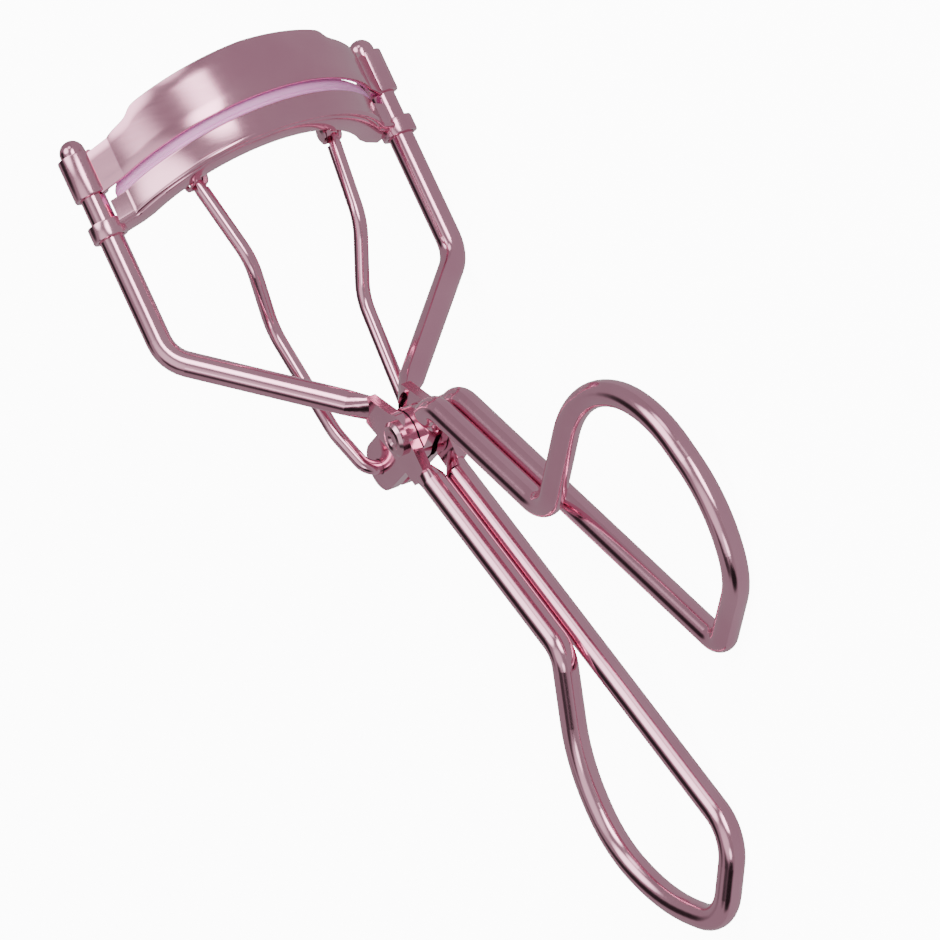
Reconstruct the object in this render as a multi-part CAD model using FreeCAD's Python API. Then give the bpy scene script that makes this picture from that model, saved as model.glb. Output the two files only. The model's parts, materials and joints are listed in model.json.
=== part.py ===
"""Eyelash curler: a bent-wire frame with finger loop and upper plate, a lever with
its own finger loop, a thin link wire and a sliding lash bar that carries a soft pad.

The pieces are laid out about the pivot (local X across the curler, local Y towards the
eye, local Z up the posts) and then laid down on one side by a single placement.
"""
import FreeCAD
import Part
import math
import os

Vector = FreeCAD.Vector
Z_UP = Vector(0, 0, 1)

DIMENSIONS = {
    # wires and sheet
    "wire_dia": 2.8, "thin_dia": 1.6, "eye_thick": 1.15, "plate_thick": 0.6,
    "bar_thick": 0.5, "slide_play": 0.1,
    # frame arms and posts
    "post_half": 18.0, "post_back": 11.1, "post_top": 44.4, "arm_bend_z": 18.6,
    "arm_bend": 4.5, "neck_y": 4.2, "neck_z": 4.8,
    # pivot stack, measured from the middle plane
    "frame_eye_x": 1.6, "lever_eye_x": 0.35, "rivet_dia": 2.4, "rivet_head": 3.8,
    "rivet_dome": 0.85, "frame_eye_rad": 2.8, "frame_eye_y": 0.4,
    # handles: angle from the posts, spacing of the two wires, distance of the line
    "main_angle": 24.9, "lever_angle": 38.3, "pair_half": 1.5,
    "main_offset": -1.6, "lever_offset": 7.0,
    # lever crank
    "crank_y": 9.6, "crank_z": -0.4, "lobe_rad": 2.7, "web_rad": 2.9, "knee_along": 5.2,
    # head
    "head_slope": 0.185, "bar_arc": 17.8, "bar_apex": -0.6, "bar_floor": 33.3,
    "bar_depth": 3.2, "bar_wall": 2.85, "bar_end_x": 15.4, "pad_show": 1.1, "pad_tuck": 0.6,
    "pad_over": 0.5,
    "plate_ahead": 0.5, "plate_end_tall": 4.6, "plate_mid_tall": 5.65, "plate_crown": 0.8,
    "crown_half": 12.0, "crown_shift": -1.2, "plate_lean": 0.16,
    "sleeve_low": 37.7, "sleeve_tall": 5.0, "ear_low": 32.8, "ear_tall": 2.0,
    "loop_wall": 0.55,
    # link and lugs
    "lug_x": 8.4, "lug_y": 6.65, "lug_z": 35.0, "lug_pin_dia": 0.9, "lug_pin_head": 1.9, "lug_slot_dia": 1.5,
    "lug_shift_y": 0.2, "lug_shift_z": -0.08, "cheek_inner": 0.5, "cheek_thick": 0.45,
    "cheek_rad": 1.1, "link_eye_rad": 0.95, "link_eye_half": 0.4,
    "knuckle_x": 6.8, "knuckle_y": 5.8, "knuckle_z": 24.5,
    "elbow_x": 5.6, "elbow_y": 10.7, "elbow_z": 17.6,
    "foot_x": 4.5, "foot_y": 9.8, "foot_z": 4.7,
    # how it lies on its side
    "lean_angle": -8.841, "roll_angle": 8.19,
}

PROFILE_STEPS = 36

doc = FreeCAD.newDocument("EyelashCurler")
sheet = doc.addObject("Spreadsheet::Sheet", "Dimensions")
for row, (alias, value) in enumerate(DIMENSIONS.items(), start=1):
    sheet.set("A%d" % row, alias)
    sheet.set("B%d" % row, str(value))
    sheet.setAlias("B%d" % row, alias)
doc.recompute()


def dim(alias):
    """A driving dimension, read from the sheet."""
    return float(getattr(sheet, alias))


# ---------------------------------------------------------------- geometry helpers
def polar(radius, degrees):
    angle = math.radians(degrees)
    return Vector(radius * math.cos(angle), radius * math.sin(angle), 0)


def rounded_path(points, radii):
    """A wire of straight runs through points, each corner rounded by a tangent arc."""
    edges = []
    start = points[0]
    for before, corner, after, radius in zip(points, points[1:], points[2:], radii):
        back = (before - corner).normalize()
        ahead = (after - corner).normalize()
        half = back.getAngle(ahead) / 2
        reach = radius / math.tan(half)
        middle = (back + ahead).normalize()
        centre = corner + middle * (radius / math.sin(half))
        arc_start = corner + back * reach
        arc_end = corner + ahead * reach
        if (arc_start - start).Length > 1e-6:
            edges.append(Part.LineSegment(start, arc_start).toShape())
        arc_middle = centre - middle * radius
        edges.append(Part.Arc(arc_start, arc_middle, arc_end).toShape())
        start = arc_end
    edges.append(Part.LineSegment(start, points[-1]).toShape())
    return Part.Wire(edges)


def tube(path, diameter):
    """A round wire that follows a path of lines and tangent arcs."""
    first = path.OrderedEdges[0]
    start = first.valueAt(first.FirstParameter)
    ahead = first.tangentAt(first.FirstParameter)
    if (start - path.OrderedVertexes[0].Point).Length > 1e-6:
        start = first.valueAt(first.LastParameter)
        ahead = first.tangentAt(first.LastParameter) * -1
    circle = Part.Wire([Part.Circle(start, ahead, diameter / 2).toShape()])
    return path.makePipeShell([circle], True, False)


def oval(centre, along, across, half_along_x, half_across):
    """An elliptic section, normal to along; half_across is measured along across."""
    narrow = along.cross(across).normalize()
    wide = across.normalize()
    if abs(half_across - half_along_x) < 1e-6:
        return Part.Wire([Part.Circle(centre, along, half_across).toShape()])
    if half_across >= half_along_x:
        ellipse = Part.Ellipse(centre + wide * half_across, centre + narrow * half_along_x, centre)
    else:
        ellipse = Part.Ellipse(centre + narrow * half_along_x, centre + wide * half_across, centre)
    return Part.Wire([ellipse.toShape()])


def handle_point(angle, along, across, x):
    """A point given along and across a handle that leaves the pivot at an angle."""
    turn = math.radians(angle)
    y = -along * math.sin(turn) - across * math.cos(turn)
    z = -along * math.cos(turn) + across * math.sin(turn)
    return Vector(x, y, z)


def slab(outline, x_low, x_high):
    """A flat plate between two X planes, from a closed wire drawn in the YZ plane."""
    face = Part.Face(outline)
    face.translate(Vector(x_low, 0, 0))
    return face.extrude(Vector(x_high - x_low, 0, 0))


def disc(centre_y, centre_z, radius, x_low, x_high):
    return Part.makeCylinder(radius, x_high - x_low, Vector(x_low, centre_y, centre_z), Vector(1, 0, 0))


def strap(start, end, start_width, end_width, x_low, x_high):
    """A flat tapering strap between two (y, z) points, as a plate between two X planes."""
    line = Vector(0, end[0] - start[0], end[1] - start[1]).normalize()
    side = Vector(1, 0, 0).cross(line)
    first = Vector(0, start[0], start[1])
    last = Vector(0, end[0], end[1])
    corners = [first + side * start_width / 2, last + side * end_width / 2,
               last - side * end_width / 2, first - side * start_width / 2]
    return slab(Part.makePolygon(corners + corners[:1]), x_low, x_high)


def mirrored(shape):
    return shape.mirror(Vector(0, 0, 0), Vector(1, 0, 0))


def fused(shapes):
    whole = shapes[0].multiFuse(shapes[1:]).removeSplitter()
    return whole.Solids[0] if len(whole.Solids) == 1 else whole


# ---------------------------------------------------------------- frame wire
def flare(round_end, flat_end, across):
    """The stretch where a round wire is pressed into a flat strap."""
    radius = dim("wire_dia") / 2
    along = (flat_end - round_end).normalize()
    middle = round_end + (flat_end - round_end) * 0.5
    half_thick = dim("eye_thick") / 2
    sections = [oval(round_end, along, across, radius, radius),
                oval(middle, along, across, (radius + half_thick) / 2, radius * 1.15),
                oval(flat_end, along, across, half_thick * 0.88, radius * 1.2)]
    return Part.makeLoft(sections, True, False)


def frame_arm():
    """Right post and arm, from the domed post top to the neck beside the pivot."""
    radius = dim("wire_dia") / 2
    post_x = dim("post_half")
    post_y = dim("post_back")
    top = Vector(post_x, post_y, dim("post_top") - radius)
    bend = Vector(post_x, post_y, dim("arm_bend_z"))
    neck = Vector(dim("frame_eye_x") + dim("eye_thick") / 2, dim("neck_y"), dim("neck_z"))
    run = (neck - bend).normalize()
    arm_end = neck - run * 2.6
    path = rounded_path([top, bend, arm_end], [dim("arm_bend")])
    dome = Part.makeSphere(radius, top)
    eye_entry = neck + run * 1.2
    across = Vector(1, 0, 0).cross(run)
    return [tube(path, 2 * radius), dome, flare(arm_end, eye_entry, across)]


def frame_eye():
    """The right flattened eye that carries the pivot, before it is drilled."""
    inner = dim("frame_eye_x")
    outer = inner + dim("eye_thick")
    centre_y = dim("frame_eye_y")
    eye_width = 1.85 * dim("frame_eye_rad")
    blade = disc(centre_y, 0, dim("frame_eye_rad"), inner, outer)
    arm_strap = strap((dim("neck_y"), dim("neck_z")), (centre_y, 0),
                      dim("wire_dia") * 1.2, eye_width, inner, outer)
    near = handle_point(dim("main_angle"), 4.6, dim("main_offset"), 0)
    handle_strap = strap((centre_y, 0), (near.y, near.z),
                         eye_width, dim("wire_dia") * 1.2, inner, outer)
    return [blade, arm_strap, handle_strap]


def main_loop():
    """The two handle wires and the teardrop finger loop, one continuous wire."""
    angle = dim("main_angle")
    offset = dim("main_offset")
    half = dim("pair_half")
    start = 5.8
    corners = [(start, offset, -half), (31.4, offset, -half), (37.2, -13.3, -1.3),
               (45.1, -18.5, -0.9), (54.3, -17.8, -0.3), (62.5, -12.6, 0.5),
               (59.7, offset, half), (start, offset, half)]
    radii = [2.8, 17.0, 12.2, 18.5, 5.4, 4.5]
    points = [handle_point(angle, *corner) for corner in corners]
    shapes = [tube(rounded_path(points, radii), dim("wire_dia"))]
    flat_x = dim("frame_eye_x") + dim("eye_thick") / 2
    across = Vector(0, math.cos(math.radians(angle)), -math.sin(math.radians(angle)))
    for side in (-1, 1):
        round_end = handle_point(angle, start, offset, side * half)
        flat_end = handle_point(angle, 3.2, offset, side * flat_x)
        shapes.append(flare(round_end, flat_end, across))
    return shapes


def frame_wire():
    right = frame_arm() + frame_eye()
    left = [mirrored(shape) for shape in right]
    whole = fused(right + left + main_loop())
    outer = dim("frame_eye_x") + dim("eye_thick") + 1
    bore = disc(0, 0, dim("rivet_dia") / 2 + 0.05, -outer, outer)
    return whole.cut(bore)


# ---------------------------------------------------------------- lever wire
def lever_wire():
    """Finger loop, handle pair, knees and the two flattened crank lobes."""
    angle = dim("lever_angle")
    offset = dim("lever_offset")
    half = dim("pair_half")
    radius = dim("wire_dia") / 2
    knee = dim("knee_along")
    knee_point = handle_point(angle, knee, offset, 0)
    inward = knee_point * (-1 / knee_point.Length)
    round_start = knee_point + inward * 2.4
    flat_start = knee_point + inward * 4.6
    corners = [(knee, offset, -half), (27.1, offset, -half), (31.4, 25.2, -1.3),
               (43.0, 31.7, -0.9), (55.4, 26.2, -0.3), (58.7, 18.4, 0.4),
               (54.6, offset, half), (knee, offset, half)]
    radii = [3.2, 3.9, 14.8, 13.0, 12.7, 8.0, 2.8, 3.2]
    points = [handle_point(angle, *corner) for corner in corners]
    ends = [round_start + Vector(side * half, 0, 0) for side in (-1, 1)]
    path = rounded_path(ends[:1] + points + ends[1:], radii)
    shapes = [tube(path, 2 * radius)]
    flat_x = dim("lever_eye_x") + dim("eye_thick") / 2
    across = Vector(1, 0, 0).cross(inward)
    inner = dim("lever_eye_x")
    outer = inner + dim("eye_thick")
    crank_y = dim("crank_y")
    crank_z = dim("crank_z")
    for side in (-1, 1):
        flat_end = flat_start + Vector(side * flat_x, 0, 0)
        shapes.append(flare(ends[(side + 1) // 2], flat_end, across))
        low, high = sorted((side * inner, side * outer))
        shapes.append(disc(0, 0, dim("web_rad"), low, high))
        shapes.append(disc(crank_y, crank_z, dim("lobe_rad"), low, high))
        shapes.append(strap((0, 0), (crank_y, crank_z), 1.9 * dim("web_rad"), 2 * dim("lobe_rad"), low, high))
        wrist = knee_point + inward * 4.0
        shapes.append(strap((wrist.y, wrist.z), (0, 0), 3.4, 1.9 * dim("web_rad"), low, high))
    whole = fused(shapes)
    pivot_bore = disc(0, 0, dim("rivet_dia") / 2 + 0.05, -outer - 1, outer + 1)
    link_bore = disc(crank_y, crank_z, dim("thin_dia") / 2 + 0.08, -outer - 1, outer + 1)
    return whole.cut(pivot_bore).cut(link_bore)


# ---------------------------------------------------------------- link wire and lugs
def link_wire():
    """One thin wire: eye, knuckle, elbow, foot, through both lobes and back up."""
    lug = Vector(dim("lug_x"), dim("lug_y"), dim("lug_z"))
    knuckle = Vector(dim("knuckle_x"), dim("knuckle_y"), dim("knuckle_z"))
    elbow = Vector(dim("elbow_x"), dim("elbow_y"), dim("elbow_z"))
    foot = Vector(dim("foot_x"), dim("foot_y"), dim("foot_z"))
    base = Vector(2.9, dim("crank_y"), dim("crank_z"))
    right = [lug, knuckle, elbow, foot, base]
    left = [Vector(-point.x, point.y, point.z) for point in right]
    points = left + right[::-1]
    radii = [5.0, 5.0, 8.0, 1.9, 1.9, 8.0, 5.0, 5.0]
    wire = tube(rounded_path(points, radii), dim("thin_dia"))
    shapes = [wire]
    eye_half = dim("link_eye_half")
    for side in (-1, 1):
        centre_x = side * lug.x
        shapes.append(disc(lug.y, lug.z, dim("link_eye_rad"), centre_x - eye_half, centre_x + eye_half))
    whole = fused(shapes)
    for side in (-1, 1):
        centre_x = side * lug.x
        trim_low = disc(lug.y, lug.z, 1.6, centre_x + eye_half, centre_x + 2)
        trim_high = disc(lug.y, lug.z, 1.6, centre_x - 2, centre_x - eye_half)
        bore = disc(lug.y, lug.z, dim("lug_pin_dia") / 2 + 0.02, centre_x - 2, centre_x + 2)
        whole = whole.cut(trim_low).cut(trim_high).cut(bore)
    return whole


# ---------------------------------------------------------------- curved head sheet
def head_rise(y):
    """Height of the sloped head plane above its level at the posts."""
    return dim("head_slope") * (dim("post_back") - y)


def half_outline(front_radius, back_radius, end_x, tail):
    """Front and back points of the head curve's right half, with a straight end facet."""
    centre_y = dim("bar_apex") + dim("bar_arc")
    reach = math.degrees(math.asin(end_x / front_radius))
    front = Vector(0, centre_y, 0) + polar(front_radius, reach - 90)
    back = Vector(0, centre_y, 0) + polar(back_radius, reach - 90)
    if tail is None:
        return centre_y, reach, front, back, None, None
    front_tail = Vector(tail[0], tail[1], 0)
    facet = (front_tail - front).normalize()
    inward = Vector(-facet.y, facet.x, 0) * (front_radius - back_radius)
    return centre_y, reach, front, back, front_tail, front_tail + inward


def band(front_radius, back_radius, end_x, low, high, tail=None):
    """A curved band between two radii, between two heights of the sloped head plane."""
    outline = half_outline(front_radius, back_radius, end_x, tail)
    centre_y, reach, front, back, front_tail, back_tail = outline
    centre = Vector(0, centre_y, 0)
    other = [Vector(-point.x, point.y, 0) for point in (front, back)]
    edges = [Part.Arc(other[0], centre + polar(front_radius, -90), front).toShape(),
             Part.Arc(back, centre + polar(back_radius, -90), other[1]).toShape()]
    if tail is None:
        edges.append(Part.LineSegment(front, back).toShape())
        edges.append(Part.LineSegment(other[1], other[0]).toShape())
    else:
        right = [front, front_tail, back_tail, back]
        left = [Vector(-point.x, point.y, 0) for point in right]
        for chain in (right, left):
            for start, end in zip(chain, chain[1:]):
                edges.append(Part.LineSegment(start, end).toShape())
    face = Part.Face(Part.Wire(Part.__sortEdges__(edges)))
    face.translate(Vector(0, 0, 20))
    column = face.extrude(Vector(0, 0, 40))
    return column.common(sloped_layer(low, high))


def sloped_layer(low, high):
    """All the space between two heights measured from the sloped head plane."""
    front_y = dim("bar_apex") - 5
    back_y = dim("post_back") + 8
    corners = [(front_y, low), (back_y, low), (back_y, high), (front_y, high)]
    points = [Vector(-30, y, z + head_rise(y)) for y, z in corners]
    return Part.Face(Part.makePolygon(points + points[:1])).extrude(Vector(60, 0, 0))


def post_loop(side, low, height, radius):
    """A rolled loop of sheet round one post, before the post's hole is drilled."""
    base = Vector(side * dim("post_half"), dim("post_back"), low)
    return Part.makeCylinder(radius, height, base)


def drill_posts(shape, radius):
    for side in (-1, 1):
        base = Vector(side * dim("post_half"), dim("post_back"), 20)
        shape = shape.cut(Part.makeCylinder(radius, 30, base))
    return shape


def lash_bar():
    """Channel that holds the pad, with a loop at each end that slides on a post."""
    thick = dim("bar_thick")
    front = dim("bar_arc")
    back = front - dim("bar_depth")
    low = dim("bar_floor")
    high = low + dim("bar_wall")
    tail = (dim("post_half") - 0.4, dim("post_back") - 1.5)
    solid = band(front, back, dim("bar_end_x"), low, high, tail)
    pocket = band(front - thick, back + thick, dim("bar_end_x"), low + thick, high + 1)
    slide_radius = dim("wire_dia") / 2 + dim("slide_play")
    loop_radius = slide_radius + dim("loop_wall")
    shapes = [solid.cut(pocket)]
    for side in (-1, 1):
        shapes.append(post_loop(side, dim("ear_low"), dim("ear_tall"), loop_radius))
    return drill_posts(fused(shapes), slide_radius)


def lash_pad():
    """Soft pad seated in the channel, closed against the upper plate."""
    thick = dim("bar_thick")
    front = dim("bar_arc") - thick - 0.02
    back = dim("bar_arc") - dim("bar_depth") + thick + 0.02
    end_x = dim("bar_end_x") - 0.3
    low = dim("bar_floor") + thick + 0.02
    rim = dim("bar_floor") + dim("bar_wall")
    crown = rim + dim("pad_show") + dim("pad_tuck")
    over_x = dim("bar_end_x") + dim("pad_over")
    foot = band(front, back, end_x, low, rim + 0.1)
    bead = band(front + 0.3, back, over_x, rim + 0.05, crown - 0.3)
    top = band(front, back + 0.3, over_x - 0.2, crown - 0.4, crown)
    return fused([foot, bead, top])


def plate_profile():
    """Front view of the plate's edges: (x, low, high), its middle raised by soft steps."""
    low = dim("bar_floor") + dim("bar_wall") + dim("pad_show")
    arc = dim("bar_arc") + dim("plate_ahead")
    centre_y = dim("bar_apex") + dim("bar_arc")
    end_tall = dim("plate_end_tall")
    mid_tall = dim("plate_mid_tall")
    rows = []
    for step in range(-PROFILE_STEPS, PROFILE_STEPS + 1):
        x = 17.6 * step / PROFILE_STEPS
        y = centre_y - math.sqrt(arc ** 2 - min(abs(x), dim("bar_end_x")) ** 2)
        inward = max(0.0, 1 - abs(x) / dim("bar_end_x"))
        off_middle = abs(x - dim("crown_shift")) - dim("crown_half")
        rise = dim("plate_crown") * (0.5 - 0.5 * math.tanh(off_middle / 0.45))
        tall = end_tall + (mid_tall - end_tall) * inward ** 0.45 + rise
        rows.append((x, low + head_rise(y), low + head_rise(y) + tall))
    return rows


def plate_window():
    """Everything between the plate's lower and upper edges, drawn in the front view."""
    rows = plate_profile()
    lower = Part.BSplineCurve()
    lower.interpolate([Vector(x, -8, low) for x, low, high in rows])
    upper = Part.BSplineCurve()
    upper.interpolate([Vector(x, -8, high) for x, low, high in rows])
    first = rows[0]
    last = rows[-1]
    sides = [Part.LineSegment(Vector(first[0], -8, first[1]), Vector(first[0], -8, first[2])),
             Part.LineSegment(Vector(last[0], -8, last[1]), Vector(last[0], -8, last[2]))]
    edges = [curve.toShape() for curve in [lower, upper] + sides]
    return Part.Face(Part.Wire(Part.__sortEdges__(edges))).extrude(Vector(0, 30, 0))


def plate_section(z, tail):
    """The plate's outline at one height: it leans back a little above its lower edge."""
    low = dim("bar_floor") + dim("bar_wall") + dim("pad_show")
    front_radius = dim("bar_arc") + dim("plate_ahead")
    centre_y = dim("bar_apex") + dim("bar_arc")
    end_x = dim("bar_end_x")
    end_y = centre_y - math.sqrt(front_radius ** 2 - end_x ** 2)
    apex_y = centre_y - front_radius + dim("plate_lean") * (z - low - 2)
    thick = dim("plate_thick")
    facet = Vector(tail[0] - end_x, tail[1] - end_y, 0).normalize()
    inward = Vector(-facet.y, facet.x, 0) * thick
    front = Vector(end_x, end_y, z)
    front_tail = Vector(tail[0], tail[1], z)
    right = [front, front_tail, front_tail + inward, front + inward]
    left = [Vector(-point.x, point.y, z) for point in right]
    edges = [Part.Arc(left[0], Vector(0, apex_y, z), right[0]).toShape()]
    edges += [Part.LineSegment(a, b).toShape() for a, b in zip(right, right[1:])]
    edges.append(Part.Arc(right[3], Vector(0, apex_y + thick, z), left[3]).toShape())
    edges += [Part.LineSegment(a, b).toShape() for a, b in zip(left[::-1], left[-2::-1])]
    return Part.Wire(edges)


def upper_plate():
    """Fixed curved plate with a raised middle, its ends rolled round the two posts."""
    tail = (dim("post_half") - 0.5, dim("post_back") - 1.6)
    column = Part.makeLoft([plate_section(34, tail), plate_section(52, tail)], True, True)
    shapes = [column.common(plate_window())]
    grip_radius = dim("wire_dia") / 2
    loop_radius = grip_radius + dim("loop_wall")
    for side in (-1, 1):
        shapes.append(post_loop(side, dim("sleeve_low"), dim("sleeve_tall"), loop_radius))
    return drill_posts(fused(shapes), grip_radius)


# ---------------------------------------------------------------- PartDesign pieces
def plane_of(body, role):
    return next(item for item in body.Origin.OriginFeatures if item.Role == role)


def new_body(label):
    body = doc.addObject("PartDesign::Body", label)
    body.Label = label
    return body


def add_sketch(body, role, name):
    sketch = body.newObject("Sketcher::SketchObject", name)
    sketch.AttachmentSupport = (plane_of(body, role), [""])
    sketch.MapMode = "FlatFace"
    return sketch


def closed_outline(sketch, corners):
    """Straight sides through (x, y) corners; returns nothing, the sketch holds them."""
    points = [Vector(x, y, 0) for x, y in corners]
    for start, end in zip(points, points[1:] + points[:1]):
        sketch.addGeometry(Part.LineSegment(start, end))


def turned_pin(label, corners):
    """A turned piece about the body's X axis from (x, radius) corners."""
    body = new_body(label)
    sketch = add_sketch(body, "XY_Plane", label + "_profile")
    closed_outline(sketch, corners)
    turn = body.newObject("PartDesign::Revolution", label + "_turn")
    turn.Profile = sketch
    turn.ReferenceAxis = (plane_of(body, "X_Axis"), [""])
    turn.Angle = 360
    return body


def pivot_rivet():
    """Rivet with a ring-shaped head and a dimple, the same on both sides."""
    reach = dim("frame_eye_x") + dim("eye_thick")
    shank = dim("rivet_dia") / 2
    head = dim("rivet_head") / 2
    rise = dim("rivet_dome")
    right = [(reach, shank), (reach, head), (reach + 0.55 * rise, head),
             (reach + 0.9 * rise, 0.82 * head), (reach + rise, 0.62 * head),
             (reach + 0.85 * rise, 0.46 * head), (reach + 0.6 * rise, 0.3 * head),
             (reach + 0.55 * rise, 0)]
    left = [(-x, r) for x, r in right[::-1]]
    return turned_pin("pivot_rivet", left + right)


def lug_pin(label, side):
    """Pin with its head on the side nearer the middle and a flush outer end."""
    cheek = dim("cheek_inner") + dim("cheek_thick")
    shank = dim("lug_pin_dia") / 2
    head = dim("lug_pin_head") / 2
    seat = cheek + 0.05
    inner = [(-seat - 0.35, 0), (-seat - 0.35, 0.6 * head), (-seat - 0.2, head),
             (-seat, head), (-seat, shank)]
    outer = [(cheek, shank), (cheek + 0.08, 0.7 * shank), (cheek + 0.08, 0)]
    body = turned_pin(label, [(side * x, radius) for x, radius in inner + outer])
    body.Placement = FreeCAD.Placement(Vector(side * dim("lug_x"), dim("lug_y"), dim("lug_z")),
                                       FreeCAD.Rotation())
    return body


def lug_bracket(side):
    """Small fork under the bar: two cheeks joined by a crown that meets the bar's floor."""
    centre_x = side * dim("lug_x")
    hole_y = dim("lug_y") + dim("lug_shift_y")
    hole_z = dim("lug_z") + dim("lug_shift_z")
    inner = dim("cheek_inner")
    outer = inner + dim("cheek_thick")
    half_width = dim("cheek_rad")
    root = (hole_y - 2.2, hole_z + 1.9)
    shapes = []
    for edge in (-1, 1):
        low, high = sorted((centre_x + edge * inner, centre_x + edge * outer))
        shapes.append(disc(hole_y, hole_z, half_width, low, high))
        shapes.append(strap((hole_y, hole_z), root, 2 * half_width, 2 * half_width, low, high))
    crown_low = dim("lug_z") + dim("link_eye_rad") + 0.15
    corner = Vector(centre_x - outer, root[0], crown_low)
    shapes.append(Part.makeBox(2 * outer, 2.0, 0.7, corner))
    front = dim("bar_arc")
    bar_space = band(front, front - dim("bar_depth"), dim("bar_end_x"), dim("bar_floor"), 60)
    fore = Part.makeBox(60, 20, 60, Vector(-30, hole_y - 22.2, 10))
    whole = fused(shapes).cut(bar_space).cut(fore)
    slot = disc(hole_y, hole_z, dim("lug_slot_dia") / 2, centre_x - 2, centre_x + 2)
    solids = whole.cut(slot).Solids
    return max(solids, key=lambda solid: solid.Volume)


# ---------------------------------------------------------------- assembly
def lying_placement():
    """From the upright layout to the curler lying on its right side, head towards +X."""
    on_side = FreeCAD.Rotation(Vector(0, 0, -1), Vector(0, 1, 0), Vector(1, 0, 0), "ZXY")
    lean = FreeCAD.Rotation(Vector(0, 1, 0), dim("lean_angle"))
    roll = FreeCAD.Rotation(Vector(1, 0, 0), dim("roll_angle"))
    return FreeCAD.Placement(Vector(0, 0, 0), roll * lean * on_side)


def add_shape(label, shape):
    feature = doc.addObject("Part::Feature", label)
    feature.Label = label
    feature.Shape = shape
    return feature


pieces = [
    add_shape("frame_wire", frame_wire()),
    add_shape("upper_plate", upper_plate()),
    pivot_rivet(),
    add_shape("lever_wire", lever_wire()),
    add_shape("link_wire", link_wire()),
    lug_pin("lug_pin_left", -1),
    lug_pin("lug_pin_right", 1),
    add_shape("lash_bar", lash_bar()),
    add_shape("lash_pad", lash_pad()),
    add_shape("lug_left", lug_bracket(-1)),
    add_shape("lug_right", lug_bracket(1)),
]
doc.recompute()

lying = lying_placement()
for piece in pieces:
    piece.Placement = lying * piece.Placement
doc.recompute()
box = FreeCAD.BoundBox()
for piece in pieces:
    box.add(piece.Shape.optimalBoundingBox(False))
shift = FreeCAD.Placement(Vector(-box.Center.x, -box.Center.y, -box.ZMin), FreeCAD.Rotation())
for piece in pieces:
    piece.Placement = shift * piece.Placement
doc.recompute()

for item in doc.Objects:
    if "Invalid" in item.State or "Error" in item.State:
        raise RuntimeError("failed object: " + item.Name)
for piece in pieces:
    if piece.Shape.isNull() or not piece.Shape.isValid():
        raise RuntimeError("bad shape: " + piece.Label)

os.makedirs("parts", exist_ok=True)
for piece in pieces:
    piece.Shape.exportStep("parts/" + piece.Label + ".step")
    print(piece.Label, len(piece.Shape.Solids), round(piece.Shape.Volume, 2))
whole_box = FreeCAD.BoundBox()
for piece in pieces:
    whole_box.add(piece.Shape.optimalBoundingBox(False))
print("size", round(whole_box.XLength, 2), round(whole_box.YLength, 2), round(whole_box.ZLength, 2))
pivot = (shift * lying).multVec(Vector(0, 0, 0))
print("pivot", pivot, "across", (shift * lying).Rotation.multVec(Vector(1, 0, 0)))
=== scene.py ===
"""Eyelash curler: the looks of a rose-gold plated wire tool with a lavender silicone pad."""

import json
import math

import bmesh
import bpy
from mathutils import Matrix, Vector


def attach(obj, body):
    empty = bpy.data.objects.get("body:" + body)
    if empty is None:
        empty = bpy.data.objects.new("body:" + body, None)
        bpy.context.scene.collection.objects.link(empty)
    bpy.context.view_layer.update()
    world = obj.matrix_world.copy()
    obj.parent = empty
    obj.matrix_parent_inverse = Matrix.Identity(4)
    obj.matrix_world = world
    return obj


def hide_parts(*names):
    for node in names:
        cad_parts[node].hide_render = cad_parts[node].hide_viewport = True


MM = 0.001
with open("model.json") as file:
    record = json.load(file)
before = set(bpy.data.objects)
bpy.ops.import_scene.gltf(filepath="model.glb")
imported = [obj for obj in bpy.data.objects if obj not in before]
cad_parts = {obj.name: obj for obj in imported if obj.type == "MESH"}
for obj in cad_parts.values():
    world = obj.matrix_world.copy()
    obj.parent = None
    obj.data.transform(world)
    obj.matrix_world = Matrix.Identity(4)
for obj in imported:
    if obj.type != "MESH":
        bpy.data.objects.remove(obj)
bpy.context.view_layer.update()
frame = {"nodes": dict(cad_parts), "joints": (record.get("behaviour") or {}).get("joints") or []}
nodes = frame["nodes"]

# ------------------------------------------------------------- tool axes in the frame
joints = {joint["name"]: joint for joint in frame["joints"]}
PIVOT = Vector(joints["lever_pivot"]["pos_m"])
AXIS_X = -Vector(joints["lever_pivot"]["axis"]).normalized()
AXIS_Z = -Vector(joints["bar_slide"]["axis"]).normalized()
AXIS_Y = AXIS_Z.cross(AXIS_X).normalized()
TOOL = Matrix.Translation(PIVOT) @ Matrix((AXIS_X, AXIS_Y, AXIS_Z)).transposed().to_4x4()


def tool_point(x, y, z):
    """A point given in millimetres about the pivot, as a place in the row frame."""
    return TOOL @ (Vector((x, y, z)) * MM)


# ------------------------------------------------------------- camera
CAMERA_RIGHT = Vector((0.84478, -0.33487, -0.41739))
CAMERA_DOWN = Vector((-0.31844, 0.31227, -0.89503))
CAMERA_AHEAD = Vector((0.43006, 0.88901, 0.15717))
CAMERA_OFFSET = Vector((-5.227, -4.202, 900.41))
FOCAL_OVER_WIDTH = 9.137021
SENSOR_MM = 36.0


def make_camera():
    data = bpy.data.cameras.new("camera")
    data.sensor_width = SENSOR_MM
    data.lens = FOCAL_OVER_WIDTH * SENSOR_MM
    data.clip_start = 0.05
    data.clip_end = 20
    axes = Matrix((CAMERA_RIGHT, CAMERA_DOWN, CAMERA_AHEAD))
    place = -(axes.transposed() @ CAMERA_OFFSET)
    turn = Matrix((CAMERA_RIGHT, -CAMERA_DOWN, -CAMERA_AHEAD)).transposed()
    camera = bpy.data.objects.new("camera", data)
    camera.matrix_world = TOOL @ Matrix.Translation(place * MM) @ turn.to_4x4()
    bpy.context.scene.collection.objects.link(camera)
    bpy.context.scene.camera = camera
    return camera


camera = make_camera()


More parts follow.
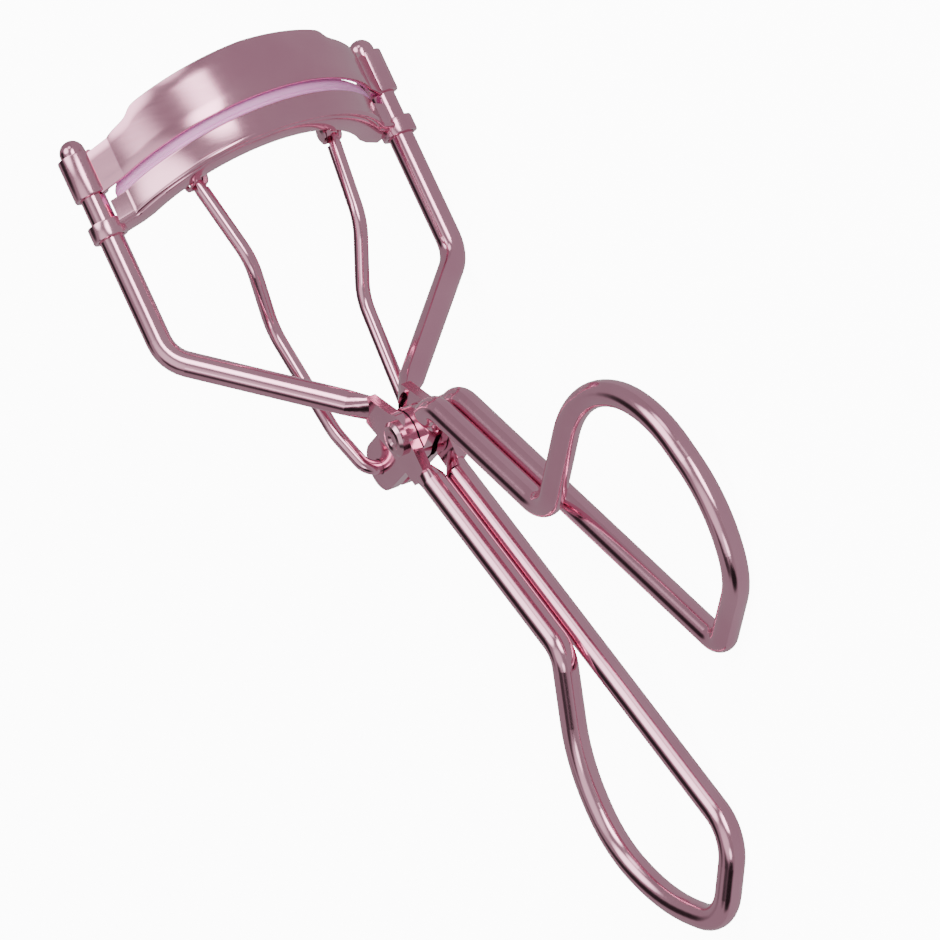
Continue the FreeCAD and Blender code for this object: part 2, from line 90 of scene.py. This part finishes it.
# ------------------------------------------------------------- materials
def new_material(name):
    material = bpy.data.materials.new(name)
    material.use_nodes = True
    tree = material.node_tree
    return material, tree, tree.nodes["Principled BSDF"]


def add_node(tree, kind, **values):
    node = tree.nodes.new(kind)
    for key, value in values.items():
        if key in node.inputs:
            node.inputs[key].default_value = value
        else:
            setattr(node, key, value)
    return node


def plated_metal(name, bright, deep, rough, scratch, brush=(1, 1, 1)):
    """Polished plating: colour drifts a little, with hairlines and faint orange peel."""
    material, tree, shader = new_material(name)
    link = tree.links.new
    coords = add_node(tree, "ShaderNodeTexCoord")
    drift = add_node(tree, "ShaderNodeTexNoise", Scale=90.0, Detail=3.0)
    link(coords.outputs["Object"], drift.inputs["Vector"])
    tint = add_node(tree, "ShaderNodeValToRGB")
    tint.color_ramp.elements[0].color = (*deep, 1)
    tint.color_ramp.elements[0].position = 0.3
    tint.color_ramp.elements[1].color = (*bright, 1)
    tint.color_ramp.elements[1].position = 0.7
    link(drift.outputs["Fac"], tint.inputs["Fac"])
    link(tint.outputs["Color"], shader.inputs["Base Color"])
    shader.inputs["Metallic"].default_value = 1.0
    stretch = add_node(tree, "ShaderNodeMapping")
    stretch.inputs["Scale"].default_value = brush
    link(coords.outputs["Object"], stretch.inputs["Vector"])
    hair = add_node(tree, "ShaderNodeTexNoise", Scale=2600.0, Detail=4.0)
    link(stretch.outputs["Vector"], hair.inputs["Vector"])
    wear = add_node(tree, "ShaderNodeMapRange")
    wear.inputs["To Min"].default_value = rough * 0.75
    wear.inputs["To Max"].default_value = rough * 1.3
    link(hair.outputs["Fac"], wear.inputs["Value"])
    link(wear.outputs["Result"], shader.inputs["Roughness"])
    peel = add_node(tree, "ShaderNodeTexNoise", Scale=700.0, Detail=2.0)
    link(coords.outputs["Object"], peel.inputs["Vector"])
    mix = add_node(tree, "ShaderNodeMath", operation="ADD")
    link(hair.outputs["Fac"], mix.inputs[0])
    link(peel.outputs["Fac"], mix.inputs[1])
    bump = add_node(tree, "ShaderNodeBump", Strength=scratch, Distance=0.00002)
    link(mix.outputs["Value"], bump.inputs["Height"])
    link(bump.outputs["Normal"], shader.inputs["Normal"])
    return material


def silicone(name):
    """Soft lavender-pink silicone: satin, slightly translucent, with a fine moulded grain."""
    material, tree, shader = new_material(name)
    link = tree.links.new
    coords = add_node(tree, "ShaderNodeTexCoord")
    cloud = add_node(tree, "ShaderNodeTexNoise", Scale=260.0, Detail=3.0)
    link(coords.outputs["Object"], cloud.inputs["Vector"])
    tint = add_node(tree, "ShaderNodeValToRGB")
    tint.color_ramp.elements[0].color = (0.91, 0.36, 0.74, 1)
    tint.color_ramp.elements[1].color = (0.96, 0.44, 0.82, 1)
    link(cloud.outputs["Fac"], tint.inputs["Fac"])
    link(tint.outputs["Color"], shader.inputs["Base Color"])
    shader.inputs["Roughness"].default_value = 0.42
    shader.inputs["Subsurface Weight"].default_value = 0.35
    shader.inputs["Subsurface Radius"].default_value = (0.0012, 0.0007, 0.0011)
    shader.inputs["Subsurface Scale"].default_value = 1.0
    grain = add_node(tree, "ShaderNodeTexNoise", Scale=4200.0, Detail=2.0)
    link(coords.outputs["Object"], grain.inputs["Vector"])
    bump = add_node(tree, "ShaderNodeBump", Strength=0.12, Distance=0.00003)
    link(grain.outputs["Fac"], bump.inputs["Height"])
    link(bump.outputs["Normal"], shader.inputs["Normal"])
    return material


ROSE = (0.90, 0.46, 0.60)
ROSE_DEEP = (0.80, 0.37, 0.51)
wire_metal = plated_metal("plated_wire", ROSE, ROSE_DEEP, 0.12, 0.10, (1.0, 0.2, 1.0))
thin_metal = plated_metal("thin_wire", ROSE, ROSE_DEEP, 0.12, 0.10)
sheet_metal = plated_metal("plated_sheet", ROSE, ROSE_DEEP, 0.16, 0.12, (1.0, 0.15, 0.15))
rivet_metal = plated_metal("rivet_metal", (0.76, 0.45, 0.54), ROSE_DEEP, 0.13, 0.10)
pad_material = silicone("soft_pad")
FINISHES = {
    "frame_wire": wire_metal, "lever_wire": wire_metal, "link_wire": thin_metal,
    "upper_plate": sheet_metal, "lash_bar": sheet_metal, "lug_left": sheet_metal,
    "lug_right": sheet_metal, "pivot_rivet": rivet_metal, "lug_pin_left": rivet_metal,
    "lug_pin_right": rivet_metal, "lash_pad": pad_material,
}
for name, finish in FINISHES.items():
    mesh = nodes[name].data
    mesh.materials.clear()
    mesh.materials.append(finish)


# ------------------------------------------------------------- head pieces
POST_X = 18.0
POST_Y = 11.1
HEAD_SLOPE = 0.185
BAR_ARC = 17.8
ARC_CENTRE_Y = 17.2
BAR_FLOOR = 33.3
PLATE_LOW = 37.25
PLATE_ARC = 18.3
PLATE_THICK = 0.6
PLATE_LEAN = 0.16
FACET_X = 15.4
PLATE_END_TALL = 4.6
PLATE_BOW = 1.05
CROWN_TALL = 0.8
CROWN_HALF = 12.0
CROWN_SHIFT = -1.2
CROWN_SOFT = 0.45
BAR_TAIL = (17.10, 9.35)
PAD_END_X = 16.38
PAD_SEAT = 0.54
PAD_MIDDLE = 1.6
PAD_TAPER = (0.80, 0.93, 1.0)


def head_rise(y):
    return HEAD_SLOPE * (POST_Y - y)


def build_piece(name, sections, material, closed=False):
    """A solid skin over rings of points given in tool millimetres, capped at its ends."""
    mesh = bpy.data.meshes.new(name)
    skin = bmesh.new()
    rings = [[skin.verts.new(tool_point(*point)) for point in ring] for ring in sections]
    pairs = list(zip(rings, rings[1:]))
    if closed:
        pairs.append((rings[-1], rings[0]))
    for first, second in pairs:
        count = len(first)
        for i in range(count):
            j = (i + 1) % count
            skin.faces.new((first[i], first[j], second[j], second[i]))
    if not closed:
        skin.faces.new(rings[0])
        skin.faces.new(rings[-1][::-1])
    bmesh.ops.recalc_face_normals(skin, faces=skin.faces)
    for face in skin.faces:
        face.smooth = True
    for edge in skin.edges:
        if len(edge.link_faces) == 2 and edge.calc_face_angle(0) > math.radians(38):
            edge.smooth = False
    skin.to_mesh(mesh)
    skin.free()
    mesh.materials.append(material)
    piece = bpy.data.objects.new(name, mesh)
    bpy.context.scene.collection.objects.link(piece)
    return piece


def curve_stations(radius, tail, per_side=56, end_x=FACET_X):
    """Stations (x, y, outward normal) along the head curve, left to right."""
    reach = math.asin(end_x / radius)
    stations = []
    for i in range(-per_side, per_side + 1):
        turn = reach * i / per_side
        place = (radius * math.sin(turn), ARC_CENTRE_Y - radius * math.cos(turn))
        stations.append((*place, math.sin(turn), -math.cos(turn)))
    if tail is None:
        return stations
    end_x, end_y = stations[-1][:2]
    length = math.hypot(tail[0] - end_x, tail[1] - end_y)
    facet = ((tail[0] - end_x) / length, (tail[1] - end_y) / length)
    extra = []
    for share in (0.04, 0.2, 0.5, 0.8, 1.0):
        x = end_x + (tail[0] - end_x) * share
        y = end_y + (tail[1] - end_y) * share
        extra.append((x, y, facet[1], -facet[0]))
    mirrored = [(-x, y, -nx, ny) for x, y, nx, ny in extra]
    return mirrored[::-1] + stations + extra


def swept(stations, outline):
    """Rings of an outline of (inset from the front face, height) at each station."""
    rings = []
    for x, y, nx, ny in stations:
        ring = []
        for inset, height in outline:
            px = x - nx * inset
            py = y - ny * inset
            ring.append((px, py, height + head_rise(py)))
        rings.append(ring)
    return rings


BAR_OUTLINE = [
    (0.0, 0.66), (-0.05, 0.54), (-0.08, 0.40), (-0.07, 0.26), (0.0, 0.13), (0.12, 0.05),
    (0.26, 0.04), (0.38, 0.12), (0.44, 0.26), (0.66, 0.26), (0.72, 0.06), (0.82, 0.0),
    (2.85, 0.0), (3.08, 0.08), (3.2, 0.35), (3.2, 2.45), (3.1, 2.6), (2.8, 2.6),
    (2.7, 2.5), (2.7, 0.62), (2.58, 0.5), (0.62, 0.5), (0.5, 0.62), (0.5, 2.74),
    (0.42, 2.85), (0.14, 2.85), (0.03, 2.80), (0.0, 2.66),
]
PAD_OUTLINE = [
    (0.54, 0.54), (0.54, 2.80), (0.42, 2.90), (0.32, 2.94), (0.24, 3.04), (0.24, 3.16),
    (0.34, 3.26), (0.25, 3.36), (0.23, 3.60), (0.24, 4.00), (0.30, 4.28), (0.50, 4.50),
    (0.85, 4.60), (1.9, 4.60), (2.3, 4.50), (2.55, 4.2), (2.65, 3.7), (2.66, 0.54),
]


def make_bar():
    stations = curve_stations(BAR_ARC, BAR_TAIL)
    outline = [(inset, BAR_FLOOR + height) for inset, height in BAR_OUTLINE]
    return build_piece("lash_bar_channel", swept(stations, outline), sheet_metal)


def make_pad():
    """The pad narrows and drops a little over its last two stations at each end."""
    stations = curve_stations(BAR_ARC, None, end_x=PAD_END_X)
    rings = []
    last = len(stations) - 1
    for i, station in enumerate(stations):
        from_end = min(i, last - i)
        if from_end < 1:
            continue
        shrink = PAD_TAPER[min(from_end - 1, len(PAD_TAPER) - 1)]
        outline = []
        for inset, height in PAD_OUTLINE:
            rise = (height - PAD_SEAT) * (0.4 + 0.6 * shrink)
            outline.append((PAD_MIDDLE + (inset - PAD_MIDDLE) * (0.5 + 0.5 * shrink),
                            BAR_FLOOR + PAD_SEAT + rise))
        rings.extend(swept([station], outline))
    return build_piece("silicone_pad", rings, pad_material)


def plate_front(x, z):
    """How far forward the plate's front face is, at a place across it and a height."""
    end_y = ARC_CENTRE_Y - math.sqrt(PLATE_ARC ** 2 - FACET_X ** 2)
    apex_y = ARC_CENTRE_Y - PLATE_ARC + PLATE_LEAN * (z - PLATE_LOW - 2)
    sagitta = end_y - apex_y
    radius = (FACET_X ** 2 + sagitta ** 2) / (2 * sagitta)
    across = min(abs(x), FACET_X)
    y = apex_y + radius - math.sqrt(radius ** 2 - across ** 2)
    beyond = max(0.0, abs(x) - FACET_X)
    return y + beyond * (POST_Y - 1.6 - end_y) / (POST_X - 0.5 - FACET_X)


def plate_edges(x):
    """Lower and upper edge of the plate: ends low, middle raised by soft steps."""
    y = plate_front(x, PLATE_LOW)
    inward = max(0.0, 1 - abs(x) / FACET_X)
    step = 0.5 - 0.5 * math.tanh((abs(x - CROWN_SHIFT) - CROWN_HALF) / CROWN_SOFT)
    tall = PLATE_END_TALL + PLATE_BOW * inward ** 0.45 + CROWN_TALL * step
    low = PLATE_LOW + head_rise(y)
    return low, low + tall


def make_plate():
    half = POST_X - 0.5
    places = [half * i / 120 for i in range(-120, 121)]
    places += [FACET_X * side + shift for side in (-1, 1) for shift in (-0.05, 0.05)]
    rings = []
    for x in sorted(places):
        low, high = plate_edges(x)
        slope = (plate_front(x + 0.02, 40) - plate_front(x - 0.02, 40)) / 0.04
        length = math.hypot(1, slope)
        nx, ny = slope / length, -1 / length
        edge = 0.16
        loop = [(0.0, low + edge), (0.04, low + 0.05), (0.14, low), (0.46, low),
                (0.56, low + 0.05), (PLATE_THICK, low + edge)]
        loop += [(PLATE_THICK, low + (high - low) * share) for share in (0.25, 0.5, 0.75)]
        loop += [(PLATE_THICK, high - edge), (0.56, high - 0.05), (0.46, high), (0.14, high),
                 (0.04, high - 0.05), (0.0, high - edge)]
        loop += [(0.0, low + (high - low) * share) for share in (0.75, 0.5, 0.25)]
        rings.append([(x - nx * inset, plate_front(x, z) - ny * inset, z) for inset, z in loop])
    return build_piece("curved_plate", rings, sheet_metal)


def make_loop(name, side, low, tall, inner, wall, gap, seam, material):
    """Sheet rolled round a post; gap is the open angle at its seam, or none."""
    edge = 0.12
    outer = inner + wall
    profile = [(inner, low + edge), (inner + edge, low), (outer - edge * 1.6, low),
               (outer - edge * 0.4, low + edge * 0.4), (outer, low + edge * 1.6),
               (outer, low + tall - edge * 1.6), (outer - edge * 0.4, low + tall - edge * 0.4),
               (outer - edge * 1.6, low + tall), (inner + edge, low + tall),
               (inner, low + tall - edge)]
    steps = 72
    rings = []
    count = steps if gap == 0 else steps + 1
    for i in range(count):
        turn = math.radians(seam + gap / 2 + (360 - gap) * i / steps)
        across = side * math.cos(turn)
        rings.append([(side * POST_X + across * radius, POST_Y + math.sin(turn) * radius, z)
                      for radius, z in profile])
    return build_piece(name, rings, material, closed=gap == 0)


head_parts = {"frame": [make_plate()], "bar": [make_bar()]}
for side, word in ((-1, "left"), (1, "right")):
    sleeve = make_loop("sleeve_" + word, side, 37.75, 4.85, 1.42, 0.53, 24, -122, sheet_metal)
    head_parts["frame"].append(sleeve)
    ear = make_loop("ear_" + word, side, 32.85, 1.9, 1.5, 0.5, 0, 0, sheet_metal)
    head_parts["bar"].append(ear)
for body, node in (("frame", "upper_plate"), ("bar", "lash_bar")):
    for piece in head_parts[body]:
        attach(piece, body)
        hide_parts(node)
pad = make_pad()
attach(pad, "bar")
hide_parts("lash_pad")


# ------------------------------------------------------------- floor, light, world
FLOOR_GLOW = 11.0
FLOOR_MIRRORED = 0.42


def make_floor():
    """Pale floor: bright to the camera with a soft shadow, mid grey to every other ray."""
    bpy.ops.mesh.primitive_plane_add(size=12, location=(0, 0, 0))
    floor = bpy.context.object
    floor.name = "floor"
    material, tree, shader = new_material("pale_floor")
    link = tree.links.new
    shader.inputs["Base Color"].default_value = (0.96, 0.965, 0.965, 1)
    shader.inputs["Roughness"].default_value = 0.9
    shader.inputs["Specular IOR Level"].default_value = 0.1
    shader.inputs["Emission Color"].default_value = (1, 1, 1, 1)
    shader.inputs["Emission Strength"].default_value = FLOOR_GLOW
    grey = add_node(tree, "ShaderNodeEmission", Strength=FLOOR_MIRRORED)
    path = add_node(tree, "ShaderNodeLightPath")
    mix = add_node(tree, "ShaderNodeMixShader")
    link(path.outputs["Is Camera Ray"], mix.inputs["Fac"])
    link(grey.outputs["Emission"], mix.inputs[1])
    link(shader.outputs["BSDF"], mix.inputs[2])
    link(mix.outputs["Shader"], tree.nodes["Material Output"].inputs["Surface"])
    floor.data.materials.append(material)
    return floor


def studio_direction(right, up, back):
    """A direction in the row frame from parts to the right, up and back of the picture."""
    turn = TOOL.to_3x3()
    local = CAMERA_RIGHT * right - CAMERA_DOWN * up - CAMERA_AHEAD * back
    return (turn @ local).normalized()


def make_world():
    """Studio surround: a mid tone with soft bright panels and dark flags."""
    world = bpy.data.worlds.new("studio")
    bpy.context.scene.world = world
    world.use_nodes = True
    tree = world.node_tree
    link = tree.links.new
    coords = add_node(tree, "ShaderNodeTexCoord")
    background = tree.nodes["Background"]
    total = None
    for direction, inner, outer, level in PANELS:
        dot = add_node(tree, "ShaderNodeVectorMath", operation="DOT_PRODUCT")
        dot.inputs[1].default_value = studio_direction(*direction)
        link(coords.outputs["Generated"], dot.inputs[0])
        panel = add_node(tree, "ShaderNodeMapRange", interpolation_type="SMOOTHERSTEP")
        panel.inputs["From Min"].default_value = math.cos(math.radians(outer))
        panel.inputs["From Max"].default_value = math.cos(math.radians(inner))
        panel.inputs["To Max"].default_value = level
        link(dot.outputs["Value"], panel.inputs["Value"])
        if total is None:
            total = add_node(tree, "ShaderNodeMath", operation="ADD")
            total.inputs[1].default_value = AMBIENT
            link(panel.outputs["Result"], total.inputs[0])
        else:
            step = add_node(tree, "ShaderNodeMath", operation="ADD")
            link(total.outputs["Value"], step.inputs[0])
            link(panel.outputs["Result"], step.inputs[1])
            total = step
    floor_level = add_node(tree, "ShaderNodeMath", operation="MAXIMUM")
    floor_level.inputs[1].default_value = 0.02
    link(total.outputs["Value"], floor_level.inputs[0])
    link(floor_level.outputs["Value"], background.inputs["Strength"])
    background.inputs["Color"].default_value = (1, 0.99, 0.985, 1)
    return world


AMBIENT = 0.36
PANELS = [
    ((0.12, 0.42, 0.90), 7, 26, 7.0),
    ((-0.80, 0.35, 0.45), 6, 26, 3.6),
    ((-0.40, 0.75, 0.50), 4, 14, 2.2),
    ((-0.55, -0.35, 0.75), 8, 34, 0.8),
    ((-0.15, -0.62, 0.77), 2, 12, 3.0),
    ((0.45, -0.10, 0.88), 3, 12, 2.4),
    ((0.62, 0.50, 0.60), 8, 30, -0.30),
    ((0.15, 0.98, 0.00), 8, 26, -0.34),
    ((0.80, -0.50, 0.30), 10, 34, -0.33),
    ((-0.10, -0.92, 0.35), 8, 24, -0.34),
    ((-0.95, -0.15, -0.20), 6, 24, -0.33),
    ((-0.62, -0.70, 0.30), 6, 20, -0.30),
]


def area_light(name, direction, distance, size, power, tone=(1, 1, 1)):
    data = bpy.data.lights.new(name, "AREA")
    data.shape = "RECTANGLE"
    data.size = size[0]
    data.size_y = size[1]
    data.energy = power
    data.color = tone
    light = bpy.data.objects.new(name, data)
    place = studio_direction(*direction) * distance
    light.location = place
    light.rotation_euler = (-place).to_track_quat("-Z", "Y").to_euler()
    light.visible_glossy = False
    bpy.context.scene.collection.objects.link(light)
    return light


make_floor()
area_light("key", (-0.4, 0.5, 0.75), 1.1, (0.8, 0.8), 9)
make_world()
